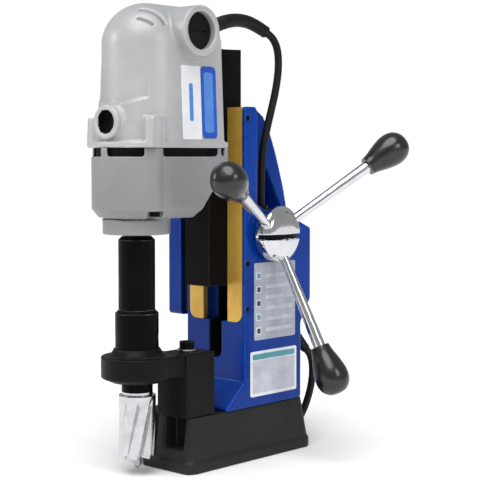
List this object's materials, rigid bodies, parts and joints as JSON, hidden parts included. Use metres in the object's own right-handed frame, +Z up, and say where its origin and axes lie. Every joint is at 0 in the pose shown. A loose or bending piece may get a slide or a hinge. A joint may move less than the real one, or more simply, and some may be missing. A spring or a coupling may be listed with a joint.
{
  "type": "magnetic drill press",
  "caption": "Portable drill press on an electromagnet base, with a sliding motor head, feed hub with spokes, annular cutter and a power lead.",
  "frame": {"origin": "centre of the magnet's bottom face", "axes": "+Z up along the spindle, -Y towards the spindle side, +X towards the feed hub"},
  "size_m": [0.2579, 0.326, 0.404],
  "materials": {
    "grey_casting": "satin",
    "blue_paint": "gloss",
    "charcoal_paint": "satin",
    "black_steel": "black oxide",
    "steel": "ground",
    "tool_steel": "bright",
    "chrome": "polished",
    "brass": "satin",
    "bronze": "satin",
    "copper": "enamelled",
    "lamination": "matt",
    "rubber": "matt",
    "black_plastic": "satin",
    "knob_plastic": "polished",
    "resin": "matt",
    "carbon": "matt",
    "green_plastic": "gloss",
    "red_plastic": "gloss",
    "lamp_lens": "clear",
    "label_foil": "gloss"
  },
  "bodies": {
    "base": {"magnet_base": "charcoal_paint", "magnet_coil": "copper", "magnet_resin": "resin", "housing": "blue_paint", "left_gib": "brass", "right_gib": "brass", "gib_screws": "black_steel", "support_bracket": "black_steel", "bracket_washer": "steel", "bracket_bolt": "black_steel", "box_gasket": "rubber", "switch_box": "blue_paint", "box_screws": "steel", "rocker_frame": "black_plastic", "button_collars": "black_plastic", "magnet_lamp": "lamp_lens", "side_labels": "label_foil", "pinion_bushes": "bronze", "cable_entry": "black_plastic", "power_gland": "black_plastic", "power_boot": "rubber", "power_cord": "rubber", "power_cord_coil": "rubber", "mains_plug": "black_plastic", "plug_pins": "brass"},
    "head": {"slide": "black_steel", "rack": "steel", "gear_case": "grey_casting", "bearing_plate": "grey_casting", "motor_housing": "grey_casting", "vent_band": "black_plastic", "case_screws": "steel", "brush_caps": "black_plastic", "carbon_brushes": "carbon", "stator": "lamination", "armature_bearings": "steel", "layshaft_bearings": "steel", "spindle_bearings": "steel", "motor_label": "label_foil", "motor_gland": "black_plastic", "motor_boot": "rubber", "motor_cable": "rubber"},
    "spindle": {"spindle": "black_steel", "arbor_screws": "black_steel", "annular_cutter": "tool_steel", "spindle_gear": "steel", "ejector_spring": "steel"},
    "pilot": {"pilot_pin": "tool_steel"},
    "armature": {"armature": "lamination", "commutator": "copper", "cooling_fan": "black_plastic"},
    "layshaft": {"layshaft": "steel"},
    "feed": {"pinion_shaft": "steel", "feed_hub": "chrome", "spokes": "chrome", "knobs": "knob_plastic"},
    "rocker": {"magnet_rocker": "black_plastic"},
    "start": {"start_button": "green_plastic"},
    "stop": {"stop_button": "red_plastic"}
  },
  "joints": [
    {"name": "head_slide", "type": "slide", "parent": "base", "child": "head", "axis": [0, 0, 1], "range_m": [-0.052, 0.03], "deforming": ["motor_cable"]},
    {"name": "feed_turn", "type": "hinge", "parent": "base", "child": "feed", "pos_m": [0, 0.0246, 0.2033], "axis": [1, 0, 0], "range_deg": [-130, 225]},
    {"name": "spindle_spin", "type": "hinge", "parent": "head", "child": "spindle", "pos_m": [0, -0.104, 0.2], "axis": [0, 0, 1], "continuous": true},
    {"name": "layshaft_spin", "type": "hinge", "parent": "head", "child": "layshaft", "pos_m": [0.01912, -0.08186, 0.24], "axis": [0, 0, 1], "continuous": true},
    {"name": "armature_spin", "type": "hinge", "parent": "head", "child": "armature", "pos_m": [0, -0.076, 0.3], "axis": [0, 0, 1], "continuous": true},
    {"name": "pilot_slide", "type": "slide", "parent": "spindle", "child": "pilot", "axis": [0, 0, 1], "range_m": [0, 0.028], "stiffness_N_per_m": 300, "springref_m": -0.01, "deforming": ["ejector_spring"]},
    {"name": "rocker_tilt", "type": "hinge", "parent": "base", "child": "rocker", "pos_m": [-0.061, 0.025, 0.205], "axis": [0, 1, 0], "range_deg": [0, 24]},
    {"name": "start_press", "type": "slide", "parent": "base", "child": "start", "axis": [1, 0, 0], "range_m": [0, 0.002], "stiffness_N_per_m": 500, "springref_m": -0.002},
    {"name": "stop_press", "type": "slide", "parent": "base", "child": "stop", "axis": [1, 0, 0], "range_m": [0, 0.002], "stiffness_N_per_m": 500, "springref_m": -0.002}
  ],
  "couplings": [
    {"joint": "feed_turn", "follows": "head_slide", "rad_per_m": -74.074},
    {"joint": "layshaft_spin", "follows": "spindle_spin", "ratio": -3.3333},
    {"joint": "armature_spin", "follows": "spindle_spin", "ratio": 10}
  ]
}
